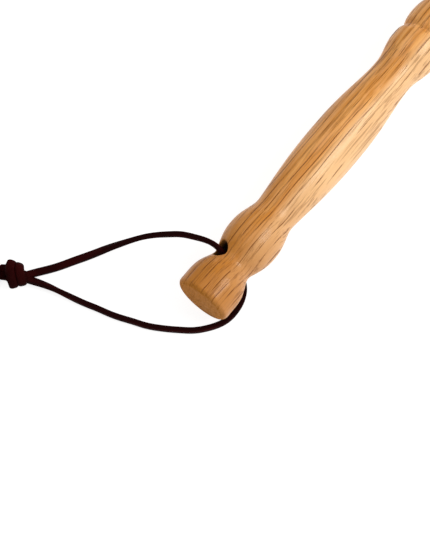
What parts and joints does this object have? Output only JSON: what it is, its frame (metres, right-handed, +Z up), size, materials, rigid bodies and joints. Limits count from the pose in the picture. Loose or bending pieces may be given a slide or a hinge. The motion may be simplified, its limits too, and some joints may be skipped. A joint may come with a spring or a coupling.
{
  "type": "fly swatter",
  "caption": "Hand-held fly swatter: turned oak handle with a hanging lace, brass ferrule, twisted wire shaft and a punched leather flap riveted into a leather yoke.",
  "frame": {"origin": "centre of the outline of handle and head, on the surface that the swatter lies on", "axes": "+X along the handle from butt to flap, +Z up"},
  "size_m": [0.5668, 0.1556, 0.03],
  "materials": {
    "oak": "satin varnished oak, turned",
    "brass": "polished, lightly worn",
    "spring_wire": "bright drawn wire",
    "yoke_leather": "waxed dark brown harness leather",
    "flap_leather": "oiled brown saddle leather",
    "thread": "waxed linen thread",
    "lace_leather": "burgundy-brown lace leather"
  },
  "bodies": {
    "root": {"handle": "oak", "ferrule": "brass", "ferrule_brads": "brass", "wire_frame": "spring_wire", "yoke_top": "yoke_leather", "yoke_bottom": "yoke_leather", "flap_root": "flap_leather", "rivet_posts": "brass", "rivet_caps": "brass", "yoke_stitching": "thread"},
    "flap": {"flap": "flap_leather"},
    "lace_loop": {"lace_upper": "lace_leather", "lace_lower": "lace_leather", "lace_knot": "lace_leather", "lace_tails": "lace_leather"}
  },
  "joints": [
    {"name": "flap_flex", "type": "hinge", "parent": "root", "child": "flap", "pos_m": [0.13501, 0, 0.015], "axis": [0, 1, 0], "range_deg": [-60, 55], "stiffness_Nm_per_rad": 0.35},
    {"name": "loop_swing", "type": "hinge", "parent": "root", "child": "lace_loop", "pos_m": [-0.22229, 0, 0.015], "axis": [0, 0.766, 0.6428], "range_deg": [0, 110]}
  ]
}
